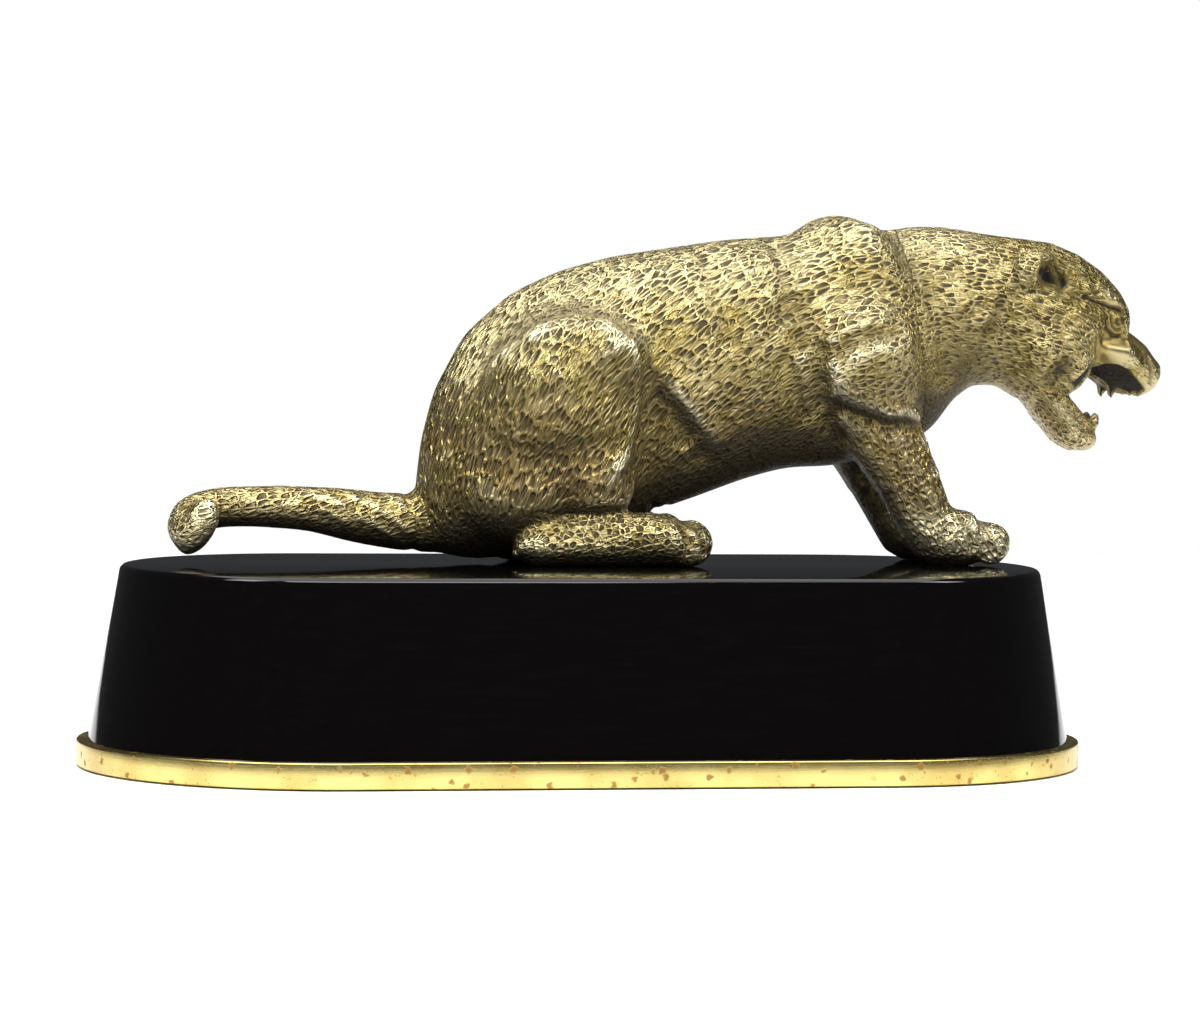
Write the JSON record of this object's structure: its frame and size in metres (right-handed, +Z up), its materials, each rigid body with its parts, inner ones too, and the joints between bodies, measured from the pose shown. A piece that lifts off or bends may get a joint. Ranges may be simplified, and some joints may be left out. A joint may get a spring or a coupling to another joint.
{
  "type": "hood ornament",
  "caption": "Crouching, snarling big-cat car mascot in chased brass, bolted to a tapered black plinth with rounded ends and a thick brass base plate.",
  "frame": {"origin": "centre of the resting face, on the underside of the baize pad", "axes": "+X along the plinth's length towards the cat's head, +Y to the cat's left, +Z up"},
  "size_m": [0.3325, 0.144, 0.1637],
  "materials": {
    "chased_brass": "chased fur marks, dark patina in the recesses, rubbed bright on the ridges",
    "polished_brass": "brushed and polished, with small brown age spots",
    "fastener_brass": "plain turned",
    "black_lacquer": "ebonised hardwood, high-gloss black lacquer",
    "green_baize": "thin felted baize"
  },
  "bodies": {
    "root": {"body_casting": "chased_brass", "head_casting": "chased_brass", "tail_casting": "chased_brass", "foreleg_right_casting": "chased_brass", "foreleg_left_casting": "chased_brass", "hind_foot_right_casting": "chased_brass", "hind_foot_left_casting": "chased_brass", "plinth_block": "black_lacquer", "base_plate": "polished_brass", "baize_pad": "green_baize", "front_right_stud": "fastener_brass", "front_right_washer": "fastener_brass", "front_right_nut": "fastener_brass", "front_left_stud": "fastener_brass", "front_left_washer": "fastener_brass", "front_left_nut": "fastener_brass", "rear_right_stud": "fastener_brass", "rear_right_washer": "fastener_brass", "rear_right_nut": "fastener_brass", "rear_left_stud": "fastener_brass", "rear_left_washer": "fastener_brass", "rear_left_nut": "fastener_brass", "base_screw_1": "fastener_brass", "base_screw_2": "fastener_brass", "base_screw_3": "fastener_brass", "base_screw_4": "fastener_brass", "base_screw_5": "fastener_brass", "base_screw_6": "fastener_brass"}
  },
  "joints": []
}
